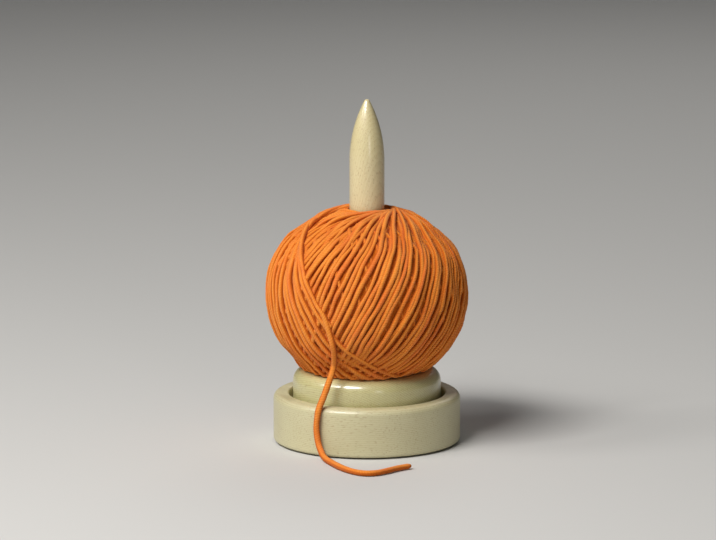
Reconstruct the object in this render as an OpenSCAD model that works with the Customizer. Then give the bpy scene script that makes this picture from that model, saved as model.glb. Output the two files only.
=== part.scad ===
// Turned beech wool unwinder: a round cup-shaped base, a turntable that runs in it on a deep groove
// ball bearing, and a bullet-nosed spindle that carries a ball of yarn. A free end of yarn hangs
// over the rim and lies in front of the base. The origin is on the floor, on the turning axis.

/* [Base] */
// Outside diameter of the turned base
base_d = 120; // [110:1:180]
// Height of the wooden base, without its pads
base_h = 31; // [28:0.5:45]
// Thickness of the rim around the recess
rim_wall = 10; // [6:0.5:14]
// Depth of the recess that the turntable runs in
recess_depth = 12; // [6:0.5:14]
// Rounding of the rim's outer edge
rim_outer_r = 4; // [1:0.25:4.5]
// Rounding of the rim's inner edge
rim_inner_r = 1.5; // [0.5:0.25:1.5]
// Rounding of the edge next to the floor
base_lower_r = 2; // [0.5:0.25:4]
// Cove between the recess's wall and its floor
recess_cove_r = 1; // [0.5:0.25:1.5]

/* [Pads] */
// Number of felt pads under the base
pad_count = 4; // [3:1:6]
// Diameter of a pad
pad_d = 16; // [10:0.5:20]
// Thickness of a pad
pad_h = 2.5; // [1.5:0.25:4]
// How far a pad stands out below the wood
pad_proud = 1; // [0.5:0.25:1.25]
// Wood left between a pad's pocket and the base's outside
pad_margin = 6; // [4:0.5:12]

/* [Turntable] */
// Running gap between the turntable and the rim
side_gap = 2.5; // [1:0.25:4]
// Running gap under the turntable, filled at the axle by a spacer
under_gap = 2; // [1:0.25:4]
// Thickness of the turntable
turntable_h = 25.5; // [20:0.5:36]
// Rounding of the turntable's upper edge
turntable_upper_r = 8; // [2:0.5:9]
// Rounding of the turntable's lower edge
turntable_lower_r = 2; // [0.5:0.25:4]

/* [Spindle] */
// Diameter of the spindle
spindle_d = 22.4; // [20:0.1:28]
// Length of the spindle above the turntable
spindle_l = 174; // [120:1:240]
// Length that the nose would have with a sharp tip
nose_l = 42; // [30:1:60]
// Rounding of the tip
tip_r = 2; // [1:0.25:4]
// Chamfer where the spindle stands on the turntable
spindle_chamfer = 0.5; // [0.25:0.25:1]
// Diameter of the tenon that seats in the turntable
tenon_d = 18; // [16:0.5:19]
// Length of the tenon
tenon_l = 10; // [8:0.5:14]

/* [Bearing] */
// Outside diameter of the bearing
bearing_d = 22; // [22:0.5:24]
// Bore of the bearing
bearing_bore = 8; // [7.5:0.25:8.25]
// Width of the bearing
bearing_w = 7; // [7:0.25:9]
// Number of balls
ball_count = 7; // [5:1:7]
// Diameter of a ball
ball_d = 3.97; // [3.5:0.01:4]
// Height of the inner ring's shoulder above its bore
inner_shoulder = 2.05; // [1.9:0.05:2.1]
// Thickness of the outer ring at its shoulder
outer_shoulder = 2; // [1.9:0.05:2.2]
// Thickness of a shield
shield_t = 0.3; // [0.2:0.05:0.5]
// Wood ledge that the bearing stands on
bearing_ledge = 2; // [1.6:0.1:2.4]

/* [Axle bolt] */
// Width across the flats of the bolt head
bolt_head_af = 13; // [12:0.5:13.5]
// Height of the bolt head
bolt_head_h = 5.3; // [4:0.1:6]
// Thickness of the washer under the bolt head
bolt_washer_t = 1; // [0.8:0.1:2]
// How far the bolt reaches into the threaded insert
bolt_reach = 14; // [10:0.5:15]
// Outside diameter of the threaded insert
insert_d = 12; // [11:0.25:13]
// Length of the threaded insert
insert_l = 15; // [12:0.5:20]

/* [Yarn] */
// Largest diameter of the yarn ball
yarn_ball_d = 129; // [80:1:150]
// Height of the widest level above the turntable
yarn_mid_h = 48; // [30:1:56]
// Height of the crown above the widest level
yarn_crown_h = 56; // [40:0.5:70]
// Fullness of the crown
yarn_crown_fullness = 2.2; // [1.8:0.05:2.6]
// Depth of the lower half below the widest level, if it came to a point
yarn_lower_h = 65.5; // [60:0.5:80]
// Fullness of the lower half
yarn_lower_fullness = 1.85; // [1.6:0.05:2.4]
// Number of ridges that the turns lie in, all round the ball
yarn_ridges = 30; // [20:1:36]
// Depth of the grooves between the ridges
yarn_groove = 2; // [0.5:0.25:2.5]
// Angle between the turns and the spindle
yarn_lean = 24; // [20:1:30]
// Bearing that the last turn faces
yarn_band_bearing = 332; // [310:1:350]
// Angle between the last turn and the spindle
yarn_band_lean = 33; // [26:1:40]
// Angle round the spindle that the band of last turns takes up
yarn_band_spread = 32; // [16:1:48]
// How much more upright the band's first turn is than the last one
yarn_band_fan = 18; // [0:1:24]
// How far the band stands out from the turns under it
yarn_band_rise = 1.25; // [0:0.25:2]
// Diameter of the free end of yarn
yarn_d = 4; // [2:0.25:4]

/* [Clearances] */
// Radial play of a part that is seated or pressed in
seat_play = 0.02; // [0.01:0.01:0.05]
// Radial play of the bolt in the turntable
bolt_play = 0.2; // [0.1:0.05:0.4]
// Play at the end of a blind hole
end_play = 0.3; // [0.2:0.05:0.5]
// Play of the balls in their grooves
groove_play = 0.06; // [0.02:0.01:0.08]
// Play of the balls in the cage
cage_play = 0.1; // [0.05:0.01:0.15]
// Gap between a shield and the inner ring
shield_gap = 0.25; // [0.1:0.05:0.3]
// Radial gap between the yarn ball's hole and the spindle
yarn_gap = 1; // [0.8:0.1:2]
// Gap under the yarn ball
yarn_lift = 0.3; // [0.2:0.05:0.5]

/* [Hidden] */

$fn = 96;
arc_steps = 10;
nose_steps = 20;
// Rings of points down the yarn ball's side and on its crown
yarn_rows = 20;
crown_rows = 3;
// How far a cutting tool runs past the face it opens
overshoot = 1;

// Radii and levels of the base
base_r = base_d / 2;
recess_r = base_r - rim_wall;
base_z = pad_proud;
rim_z = base_z + base_h;
recess_z = rim_z - recess_depth;
bearing_r = bearing_d / 2;
bearing_z = recess_z - bearing_w;
pocket_r = bearing_r + seat_play;
access_r = bearing_r - bearing_ledge;
pad_r = pad_d / 2;
pad_pitch_r = base_r - pad_margin - pad_r;
pad_first_angle = 45;

// Radii and levels of the turntable
turntable_r = recess_r - side_gap;
turntable_z = recess_z + under_gap;
deck_z = turntable_z + turntable_h;
bolt_r = bearing_bore / 2 - seat_play;
bolt_hole_r = bolt_r + bolt_play;
tenon_r = tenon_d / 2;
tenon_z = deck_z - tenon_l;
tenon_chamfer = 1;
socket_z = tenon_z - end_play;

// Radii and levels of the spindle
spindle_r = spindle_d / 2;
tip_z = deck_z + spindle_l;
nose_arc_r = (spindle_r * spindle_r + nose_l * nose_l) / (2 * spindle_r);
nose_arc_x = spindle_r - nose_arc_r;
tip_to_nose = sqrt(pow(nose_arc_r - tip_r, 2) - nose_arc_x * nose_arc_x);
nose_z = tip_z - tip_r - tip_to_nose;
insert_r = insert_d / 2;
insert_recess = 0.5;
insert_slot_w = 1.6;
insert_slot_depth = 2;

// Bearing
ring_chamfer = 0.4;
pitch_r = (bearing_r + bearing_bore / 2) / 2;
inner_ring_r = bearing_bore / 2 + inner_shoulder;
outer_ring_r = bearing_r - outer_shoulder;
groove_r = ball_d / 2 + groove_play;
shield_inset = 0.3;
shield_rebate = 0.6;
// Level of a shield's inner face above the bearing's middle
shield_level = bearing_w / 2 - shield_inset - shield_t;
shield_outer_r = outer_ring_r + shield_rebate;
cage_side_gap = 0.45;
cage_web = 0.5;
cage_low = ball_d / 2 + cage_play + cage_web;
cage_high = 1.3;

// Axle
bolt_head_z = bearing_z - bolt_washer_t;
bolt_end_z = tenon_z + insert_recess + bolt_reach;
bolt_chamfer = 0.8;
washer_margin = 0.05;
washer_r = inner_ring_r - washer_margin;
washer_hole_r = bolt_r + bolt_play;
insert_hole_spare = 2;
insert_hole_z = tenon_z + insert_recess + max(insert_l, bolt_reach) + insert_hole_spare;

// Yarn
yarn_ball_r = yarn_ball_d / 2;
yarn_hole_r = spindle_r + yarn_gap;
yarn_seat_z = deck_z + yarn_lift;
yarn_mid_z = deck_z + yarn_mid_h;
yarn_seat_depth = yarn_mid_z - yarn_seat_z;
// A ridge takes three columns of points: its groove and its two shoulders
ridge_columns = 3;
// Angle along a turn over which the grooves open out below the crown
groove_run_in = 40;
// Widths, as angles, of the band's soft edges and of the dip beside the last turn
band_edge = 5;
band_dip = 9;
tail_sides = 8;
// The free end's way: out of the yarn ball, over the rim, down the base and along the floor
tail_route = [
    [-19.5, -46.5, 67], [-20, -47.5, 63], [-21, -48.5, 58.5], [-22.5, -49.5, 53], [-24.5, -50.5, 47],
    [-26.5, -51.5, 41.5], [-28.5, -52.5, 36.5], [-30.5, -53.5, 31.5], [-31.5, -54, 26], [-32, -54, 20],
    [-31.5, -54.5, 14], [-30.5, -56, 9], [-29, -59, 5.5], [-27.5, -63, 3.2], [-25.5, -68, 2.2],
    [-23, -74.5, 2.1], [-20, -82, 2.1], [-16.5, -89.5, 2.1], [-12, -97, 2.1], [-6.5, -103.5, 2.1],
    [0, -106.5, 2.1], [6.5, -104.5, 2.1], [12.5, -99, 2.1], [19, -92, 2.1], [27, -85.5, 2.1]
];

beech = [0.83, 0.75, 0.57];
felt = [0.42, 0.38, 0.33];
steel = [0.72, 0.73, 0.75];
zinc = [0.66, 0.68, 0.70];
nylon = [0.86, 0.82, 0.70];
brass = [0.80, 0.66, 0.32];
orange_yarn = [0.93, 0.52, 0.17];

// Points of an arc in a profile, from angle a0 to angle a1
function arc_points(x, z, r, a0, a1, steps = arc_steps) =
    [for (i = [0:steps]) let (a = a0 + (a1 - a0) * i / steps) [x + r * cos(a), z + r * sin(a)]];

// Partner of a value on a rounded outline with half sizes a and b
function on_outline(x, a, b, fullness) = b * pow(1 - pow(x / a, fullness), 1 / fullness);

// Turned cup with its recess, the bearing's pocket and the bolt's access hole
module base() {
    color(beech) difference() {
        rotate_extrude() polygon(concat(
            [[access_r, base_z]],
            arc_points(base_r - base_lower_r, base_z + base_lower_r, base_lower_r, -90, 0),
            arc_points(base_r - rim_outer_r, rim_z - rim_outer_r, rim_outer_r, 0, 90),
            arc_points(recess_r + rim_inner_r, rim_z - rim_inner_r, rim_inner_r, 90, 180),
            arc_points(recess_r - recess_cove_r, recess_z + recess_cove_r, recess_cove_r, 0, -90),
            [[pocket_r, recess_z], [pocket_r, bearing_z], [access_r, bearing_z]]
        ));
        for (i = [1:pad_count]) place_pad(i) cylinder(h = pad_h, r = pad_r + seat_play);
    }
}

// Where a pad goes: the pads stand on the floor in a ring
module place_pad(i) {
    rotate(pad_first_angle + 360 * i / pad_count)
        translate([pad_pitch_r, 0, 0]) children();
}

module felt_pad(i) {
    color(felt) place_pad(i) cylinder(h = pad_h, r = pad_r);
}

module at_bearing() {
    translate([0, 0, bearing_z + bearing_w / 2]) children();
}

// Section of the groove that the balls run in
module ball_groove() {
    translate([pitch_r, 0]) circle(r = groove_r);
}

// Outer ring, with a rebate at each end for a shield
module bearing_outer_ring() {
    half_w = bearing_w / 2;
    color(steel) at_bearing() rotate_extrude() difference() {
        polygon([
            [outer_ring_r, -shield_level], [shield_outer_r, -shield_level],
            [shield_outer_r, -half_w], [bearing_r - ring_chamfer, -half_w],
            [bearing_r, ring_chamfer - half_w], [bearing_r, half_w - ring_chamfer],
            [bearing_r - ring_chamfer, half_w], [shield_outer_r, half_w],
            [shield_outer_r, shield_level], [outer_ring_r, shield_level]
        ]);
        ball_groove();
    }
}

module bearing_inner_ring() {
    half_w = bearing_w / 2;
    r0 = bearing_bore / 2;
    r1 = inner_ring_r;
    color(steel) at_bearing() rotate_extrude() difference() {
        polygon([
            [r0, ring_chamfer - half_w], [r0 + ring_chamfer, -half_w],
            [r1 - ring_chamfer, -half_w], [r1, ring_chamfer - half_w],
            [r1, half_w - ring_chamfer], [r1 - ring_chamfer, half_w],
            [r0 + ring_chamfer, half_w], [r0, half_w - ring_chamfer]
        ]);
        ball_groove();
    }
}

// Pressed steel shield, seated in the outer ring's rebate
module bearing_shield(side) {
    shield_r0 = inner_ring_r + shield_gap;
    z = side > 0 ? shield_level : -shield_level - shield_t;
    color(zinc) at_bearing() translate([0, 0, z]) difference() {
        cylinder(h = shield_t, r = shield_outer_r - seat_play);
        translate([0, 0, -overshoot]) cylinder(h = shield_t + 2 * overshoot, r = shield_r0);
    }
}

module place_ball(i) {
    rotate(360 * i / ball_count) translate([pitch_r, 0, 0]) children();
}

module bearing_ball(i) {
    color(steel) at_bearing() place_ball(i) sphere(r = ball_d / 2);
}

// Crown cage: the balls snap into its pockets from above
module bearing_cage() {
    color(nylon) at_bearing() difference() {
        rotate_extrude()
            translate([inner_ring_r + cage_side_gap, -cage_low])
                square([outer_ring_r - inner_ring_r - 2 * cage_side_gap, cage_low + cage_high]);
        for (i = [1:ball_count]) place_ball(i) sphere(r = ball_d / 2 + cage_play);
    }
}

// Hexagon bolt, put in from below
module axle_bolt() {
    corner_r = bolt_head_af / sqrt(3);
    flat_r = bolt_head_af / 2;
    color(zinc) {
        translate([0, 0, bolt_head_z - bolt_head_h]) intersection() {
            cylinder(h = bolt_head_h, r = corner_r, $fn = 6);
            cylinder(h = bolt_head_h, r1 = flat_r, r2 = flat_r + bolt_head_h);
        }
        translate([0, 0, bolt_head_z])
            cylinder(h = bolt_end_z - bolt_head_z - bolt_chamfer, r = bolt_r);
        translate([0, 0, bolt_end_z - bolt_chamfer])
            cylinder(h = bolt_chamfer, r1 = bolt_r, r2 = bolt_r - bolt_chamfer);
    }
}

module washer(z, t) {
    translate([0, 0, z]) difference() {
        cylinder(h = t, r = washer_r);
        translate([0, 0, -overshoot]) cylinder(h = t + 2 * overshoot, r = washer_hole_r);
    }
}

module bolt_washer() {
    color(zinc) washer(bolt_head_z, bolt_washer_t);
}

// Holds the turntable clear of the recess's floor
module spacer_ring() {
    color(zinc) washer(recess_z, under_gap);
}

// Turned disc with the bolt's hole and the socket for the spindle's tenon
module turntable() {
    socket_r = tenon_r + seat_play;
    color(beech) rotate_extrude() polygon(concat(
        [[bolt_hole_r, turntable_z]],
        arc_points(turntable_r - turntable_lower_r, turntable_z + turntable_lower_r,
            turntable_lower_r, -90, 0),
        arc_points(turntable_r - turntable_upper_r, deck_z - turntable_upper_r,
            turntable_upper_r, 0, 90),
        [[socket_r, deck_z], [socket_r, socket_z], [bolt_hole_r, socket_z]]
    ));
}

// Turned spindle: a straight shank, an arched nose and a small round tip
module spindle() {
    insert_hole_r = insert_r + seat_play;
    nose_angle = asin(tip_to_nose / (nose_arc_r - tip_r));
    color(beech) rotate_extrude() polygon(concat(
        [[insert_hole_r, tenon_z], [tenon_r - tenon_chamfer, tenon_z]],
        [[tenon_r, tenon_z + tenon_chamfer], [tenon_r, deck_z]],
        [[spindle_r - spindle_chamfer, deck_z], [spindle_r, deck_z + spindle_chamfer]],
        arc_points(nose_arc_x, nose_z, nose_arc_r, 0, nose_angle, nose_steps),
        [for (i = [1:arc_steps - 1])
            let (a = nose_angle + (90 - nose_angle) * i / arc_steps)
                [tip_r * cos(a), tip_z - tip_r + tip_r * sin(a)]],
        [[0, tip_z], [0, insert_hole_z], [insert_hole_r, insert_hole_z]]
    ));
}

// Brass insert that the bolt screws into, with a slot for driving it in
module threaded_insert() {
    color(brass) translate([0, 0, tenon_z + insert_recess]) difference() {
        cylinder(h = insert_l, r = insert_r);
        translate([0, 0, -overshoot]) cylinder(h = insert_l + 2 * overshoot, r = bolt_r + seat_play);
        translate([-insert_d, -insert_slot_w / 2, -overshoot])
            cube([2 * insert_d, insert_slot_w, insert_slot_depth + overshoot]);
    }
}

// Distance from the yarn ball's middle to its skin, at an angle from straight up
function yarn_reach(polar) =
    let (
        h = polar < 90 ? yarn_crown_h : yarn_lower_h,
        fullness = polar < 90 ? yarn_crown_fullness : yarn_lower_fullness
    )
        pow(pow(sin(polar) / yarn_ball_r, fullness) + pow(abs(cos(polar)) / h, fullness), -1 / fullness);

// A turn of yarn is a flat loop that leans from the spindle. At an angle along it from its highest
// point, these give its angle from straight up and how far round the spindle it has come.
function turn_polar(along) = acos(cos(yarn_lean) * cos(along));
function turn_bearing(along) = -atan2(sin(along), cos(along) * sin(yarn_lean));

// The direction square to the flat loop that faces a bearing and leans from the spindle
function square_to_turn(bearing, lean) =
    [cos(lean) * cos(bearing), cos(lean) * sin(bearing), sin(lean)];

// Angles from the band's last and first turns to a direction
function past_last(v) = asin(v * square_to_turn(yarn_band_bearing, yarn_band_lean));
function past_first(v) =
    asin(v * square_to_turn(yarn_band_bearing - yarn_band_spread, yarn_band_lean - yarn_band_fan));

function smooth(x) = let (s = max(0, min(1, x))) s * s * (3 - 2 * s);

// 1 on the band of last turns, 0 away from it
function on_band(v) =
    let (a = past_last(v), b = past_first(v)) a * b > 0 ? 0 : smooth(min(abs(a), abs(b)) / band_edge);

// 1 right beside the last turn, where the other turns go under the band, 0 away from it
function under_band(v) =
    past_last(v) < 0 ? 0
    : (1 - smooth(past_last(v) / band_dip)) * smooth(past_first(v) / yarn_band_spread);

// A point on the yarn ball's skin, which lies lower by depth in a groove
function yarn_point(polar, bearing, depth) =
    let (
        v = [sin(polar) * cos(bearing), sin(polar) * sin(bearing), cos(polar)],
        rise = yarn_band_rise * (on_band(v) - under_band(v)) - depth * (1 - on_band(v))
    )
        [0, 0, yarn_mid_z] + v * (yarn_reach(polar) + rise);

// Triangles between ring a and ring b of n points, where b is turned on by some points
function ring_strip(a, b, n, shift = 0) = [
    for (j = [0:n - 1])
        let (k = (j + 1) % n, c = b * n + (j + shift) % n, d = b * n + (k + shift) % n)
            for (triangle = [[a * n + j, a * n + k, d], [a * n + j, d, c]]) triangle
];

// Soft ball of yarn, pushed onto the spindle. Its columns of points follow the leaning turns, and
// every third one lies in a groove. The last turns cross them in a raised band.
module yarn_ball() {
    n = ridge_columns * yarn_ridges;
    columns = [0:n - 1];
    pitch = 360 / n;
    hole_z = on_outline(yarn_hole_r, yarn_ball_r, yarn_crown_h, yarn_crown_fullness);
    seat_r = on_outline(yarn_seat_depth, yarn_lower_h, yarn_ball_r, yarn_lower_fullness);
    hole_polar = atan2(yarn_hole_r, hole_z);
    seat_along = acos(max(-0.98, -cos(atan2(seat_r, yarn_seat_depth)) / cos(yarn_lean)));
    crown = [
        for (i = [0:crown_rows - 1])
            let (polar = hole_polar + (yarn_lean - hole_polar) * i / crown_rows)
                [for (j = columns) yarn_point(polar, j * pitch, 0)]
    ];
    side = [
        for (i = [0:yarn_rows])
            let (along = seat_along * i / yarn_rows, depth = yarn_groove * smooth(along / groove_run_in))
                [for (j = columns) yarn_point(
                    turn_polar(along), j * pitch + turn_bearing(along), j % ridge_columns == 0 ? depth : 0)]
    ];
    side_above = [for (i = [0:yarn_rows - 1]) side[i]];
    seat = [for (p = side[yarn_rows]) [p[0], p[1], yarn_seat_z]];
    turned = round(-turn_bearing(seat_along) / pitch);
    foot = [for (j = columns) let (a = (j - turned) * pitch)
        [yarn_hole_r * cos(a), yarn_hole_r * sin(a), yarn_seat_z]];
    rings = concat(crown, side_above, [seat, foot]);
    last = len(rings) - 1;
    skin = [for (i = [0:last - 1]) each ring_strip(i, i + 1, n)];
    hole = ring_strip(last, 0, n, n - turned);
    color(orange_yarn) polyhedron(points = [for (ring = rings) each ring], faces = concat(skin, hole));
}

function unit(v) = v / norm(v);
function heading(p, i) = unit(p[min(i + 1, len(p) - 1)] - p[max(i - 1, 0)]);
function squared(u, t) = unit(u - (u * t) * t);

// Side directions along the route, each turned as little as possible from the one before
function side_ways(p, u, i = 0) =
    i == len(p) ? [] :
    let (v = squared(u, heading(p, i))) concat([v], side_ways(p, v, i + 1));

// Free end of yarn: a round tube along its route
module yarn_tail() {
    rings = len(tail_route);
    ways = side_ways(tail_route, [1, 0, 0]);
    points = [
        for (i = [0:rings - 1])
            let (t = heading(tail_route, i), u = ways[i], v = cross(t, u))
                for (k = [0:tail_sides - 1])
                    let (a = 360 * k / tail_sides)
                        tail_route[i] + yarn_d / 2 * (cos(a) * u + sin(a) * v)
    ];
    walls = [
        for (i = [0:rings - 2])
            for (k = [0:tail_sides - 1])
                let (next = (k + 1) % tail_sides, low = i * tail_sides, high = low + tail_sides)
                    [low + k, high + k, high + next, low + next]
    ];
    start = [for (k = [0:tail_sides - 1]) k];
    end = [for (k = [tail_sides - 1:-1:0]) (rings - 1) * tail_sides + k];
    color(orange_yarn) polyhedron(points = points, faces = concat(walls, [start, end]));
}

base();
for (i = [1:pad_count])
    felt_pad(i);
bearing_outer_ring();
bearing_shield(-1);  // bearing_lower_shield
bearing_shield(1);  // bearing_upper_shield
bearing_cage();
for (i = [1:ball_count])
    bearing_ball(i);
bearing_inner_ring();
axle_bolt();
bolt_washer();
spacer_ring();
turntable();
spindle();
threaded_insert();
yarn_ball();
yarn_tail();
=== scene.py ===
# %% [markdown]
# # A wooden yarn unwinder, dressed in Blender
#
# The real object is a turned beech cup that stands on a table, a beech disc that spins in it on
# a hidden ball bearing, and a pointed beech spindle that carries a ball of orange wool. The
# mechanical model has every size already, so this lesson adds only what a solid modeller
# leaves out: the finishes, a ball wound from one long strand, and its free end on the table.

import math

import bpy
import numpy as np
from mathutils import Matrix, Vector


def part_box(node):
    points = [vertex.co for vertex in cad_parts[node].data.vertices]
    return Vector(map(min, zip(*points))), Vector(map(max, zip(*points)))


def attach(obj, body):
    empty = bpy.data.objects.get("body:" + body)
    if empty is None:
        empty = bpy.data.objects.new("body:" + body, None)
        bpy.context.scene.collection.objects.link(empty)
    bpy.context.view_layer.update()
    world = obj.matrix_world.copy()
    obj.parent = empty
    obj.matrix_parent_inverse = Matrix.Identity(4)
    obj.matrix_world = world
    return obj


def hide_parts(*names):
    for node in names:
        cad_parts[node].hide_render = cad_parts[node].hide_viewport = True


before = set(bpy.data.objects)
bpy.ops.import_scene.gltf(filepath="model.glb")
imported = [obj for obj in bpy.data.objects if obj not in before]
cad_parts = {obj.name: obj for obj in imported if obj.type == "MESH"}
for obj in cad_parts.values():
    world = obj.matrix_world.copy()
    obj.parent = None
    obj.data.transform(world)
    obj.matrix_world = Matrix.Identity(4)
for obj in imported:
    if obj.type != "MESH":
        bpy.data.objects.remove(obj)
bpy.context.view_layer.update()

# %% Placing helpers


def new_object(name, data):
    obj = bpy.data.objects.new(name, data)
    bpy.context.scene.collection.objects.link(obj)
    return obj


def aim_from(obj, place, direction):
    """Puts a camera or a lamp at place and turns it to look in a direction."""
    obj.location = place
    obj.rotation_mode = "QUATERNION"
    obj.rotation_quaternion = direction.to_track_quat("-Z", "Y")


# %% [markdown]
# ## The camera
#
# The picture was taken from a little above the table and with a long lens: the base's round rim
# shows as an oval about a fifth as high as it is wide, and the spindle's sides run parallel. A
# camera 3 m away that looks down by ten degrees gives both. The lens follows from the width of
# the scene that the picture takes in at that distance. All three are estimates from the picture.

# %% Camera
camera_distance = 3.0
look_down = math.radians(10.35)
picture_width = 0.458  # metres across the picture, at the spindle
aim = Vector((-0.0057, 0.0, 0.1111))  # the spindle stands a little right of the middle

camera_data = bpy.data.cameras.new("photo_camera")
camera_data.sensor_width = 36.0
camera_data.lens = camera_data.sensor_width * camera_distance / picture_width
camera = new_object("photo_camera", camera_data)
toward_object = Vector((0.0, math.cos(look_down), -math.sin(look_down)))
aim_from(camera, aim - toward_object * camera_distance, toward_object)
bpy.context.scene.camera = camera
print("camera: lens", round(camera_data.lens, 1), "mm")

# %% [markdown]
# ## Floor and light
#
# A plain pale table and soft light. A wide lamp high on the left does most of the work: it draws
# the pale streak along the disc's rounded edge, and leaves the ball's right side in a warm brown
# shade, as in the picture. A small lamp at the side keeps the left edges bright, a low upright
# one near the camera evens out the spindle, and a weak one behind keeps the far edges open.

# %% Floor
floor_half = 9.0
floor_mesh = bpy.data.meshes.new("studio_floor")
floor_mesh.from_pydata(
    [(x * floor_half, y * floor_half, 0.0) for x, y in ((-1, -1), (1, -1), (1, 1), (-1, 1))],
    [],
    [(0, 1, 2, 3)],
)
floor = new_object("studio_floor", floor_mesh)

floor_paint = bpy.data.materials.new("studio_floor_paint")
floor_paint.use_nodes = True
floor_shader = floor_paint.node_tree.nodes["Principled BSDF"]
floor_shader.inputs["Base Color"].default_value = (0.62, 0.61, 0.59, 1)
floor_shader.inputs["Roughness"].default_value = 0.9
floor_mesh.materials.append(floor_paint)

# %% Lights
lamp_colour = (1.0, 0.99, 0.97)
object_middle = Vector((0, 0, 0.09))


def soft_lamp(name, place, width, height, watts):
    """A rectangular lamp at place that faces the middle of the object."""
    data = bpy.data.lights.new(name, "AREA")
    data.shape = "RECTANGLE"
    data.size, data.size_y = width, height
    data.energy = watts
    data.color = lamp_colour
    aim_from(new_object(name, data), place, object_middle - place)


def around(bearing, height, distance):
    """A place at a bearing from the camera's side, a height in degrees and a distance."""
    b, h = math.radians(bearing), math.radians(height)
    flat = distance * math.cos(h)
    return Vector((flat * math.sin(b), -flat * math.cos(b), distance * math.sin(h)))


soft_lamp("main_lamp", around(-38, 50, 2.3), width=1.20, height=0.60, watts=52)
soft_lamp("side_lamp", around(-75, 40, 2.3), width=0.60, height=0.60, watts=9)
soft_lamp("near_lamp", around(18, 10, 2.7), width=0.30, height=0.80, watts=4)
soft_lamp("back_lamp", around(165, 40, 2.4), width=1.20, height=1.20, watts=6)

studio = bpy.data.worlds.new("studio")
studio.use_nodes = True
sky = studio.node_tree.nodes["Background"]
sky.inputs["Color"].default_value = (0.86, 0.89, 0.93, 1)
sky.inputs["Strength"].default_value = 0.05
bpy.context.scene.world = studio
bpy.context.scene.view_settings.view_transform = "Standard"

# %% [markdown]
# ## A strand of wool as a mesh
#
# Both the ball and its free end are made of one yarn, so one function makes any length of it. A
# tube is swept along the strand's middle line. Its outline isn't round: three plies lie twisted
# round each other, so the radius swells and sinks three times on the way round, and the pattern
# turns as it runs along. The tube also remembers, in a mesh attribute, where each point lies
# round the strand and along it, and how deep it lies in the ball. The wool's material reads
# these, so its fibres follow the twist however the strand bends, and it paints shade into the
# colour on the side of each strand that faces into the ball and on strands that lie deep.

# %% Yarn sizes
yarn_d = 0.004  # the free end, as measured in the picture
wound_d = 0.0030  # wound under tension it is thinner
plies = 3
ply_twist = 0.0048  # length of one full turn of the plies
ply_depth = 0.040  # how far the plies swell and sink, as a share of the radius
end_sides = 14  # corners round the free end, which is seen alone
outer_sides = 8  # corners round the turns that show
inner_sides = 6  # corners round the turns under them

# %% Smooth lines through points


def smooth_line(points, step):
    """Points about step apart on a Catmull-Rom curve through the given points."""
    points = np.asarray(points, float)
    ends = np.vstack([2 * points[0] - points[1], points, 2 * points[-1] - points[-2]])
    parts = []
    for a, b, c, d in zip(ends[:-3], ends[1:-2], ends[2:-1], ends[3:]):
        n = max(2, int(math.ceil(np.linalg.norm(c - b) / step)))
        t = np.linspace(0, 1, n, endpoint=False)[:, None]
        curve = 2 * b + (c - a) * t
        curve += (2 * a - 5 * b + 4 * c - d) * t**2
        curve += (3 * b - a - 3 * c + d) * t**3
        parts.append(0.5 * curve)
    return np.vstack(parts + [points[-1:]])


def unit(vectors):
    """The same directions at length 1."""
    return vectors / np.linalg.norm(vectors, axis=1)[:, None]


def length_along(line):
    """Distance along the line to each of its points."""
    return np.concatenate([[0], np.cumsum(np.linalg.norm(np.diff(line, axis=0), axis=1))])


# %% Smooth noise along a strand


def eased(share):
    """0 to 1 with a slow start and a slow end."""
    return share * share * (3 - 2 * share)


def wobble(positions, wavelength, seed):
    """Smooth random values from -1 to 1 at positions along a line."""
    knots = np.random.default_rng(seed).uniform(-1, 1, int(positions.max() / wavelength) + 3)
    at = positions / wavelength
    i = np.floor(at).astype(int)
    s = eased(at - i)
    return knots[i] * (1 - s) + knots[i + 1] * s


def uneven(positions, level, parts):
    """level plus smooth random parts, each given by its share, its wavelength and its seed."""
    for share, wavelength, seed in parts:
        level = level + share * wobble(positions, wavelength, seed)
    return level


# %% Sweep the strand


def strand_mesh(name, line, outward, radius, sides, flatten=1.0, depth=None, start=0.0):
    """A twisted tube along line. outward points away from what the strand lies on."""
    count = len(line)
    along = length_along(line) + start
    ahead = unit(np.gradient(line, axis=0))
    up = unit(outward - (outward * ahead).sum(1)[:, None] * ahead)
    side = np.cross(ahead, up)
    turn = np.arange(sides) * 2 * math.pi / sides
    twist = plies * 2 * math.pi * along[:, None] / ply_twist
    swell = 1 + ply_depth * np.cos(plies * turn[None, :] - twist)
    reach = radius[:, None] * swell
    ring_up = reach * np.cos(turn) * flatten
    ring_side = reach * np.sin(turn) / flatten
    points = line[:, None, :] + ring_up[:, :, None] * up[:, None, :]
    points = (points + ring_side[:, :, None] * side[:, None, :]).reshape(-1, 3)
    ring = np.arange(sides)
    first = (np.arange(count - 1) * sides)[:, None]
    a, b = first + ring, first + (ring + 1) % sides
    quads = np.stack([a, b, b + sides, a + sides], axis=2).reshape(-1, 4)
    place_round = [np.tile(np.cos(turn), count), np.tile(np.sin(turn), count)]
    strand_place = np.stack(place_round + [np.repeat(along, sides)], axis=1)
    deep = np.repeat(np.zeros(count) if depth is None else depth, sides)
    return mesh_of(name, points, quads, strand_place, deep, sides)


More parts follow.
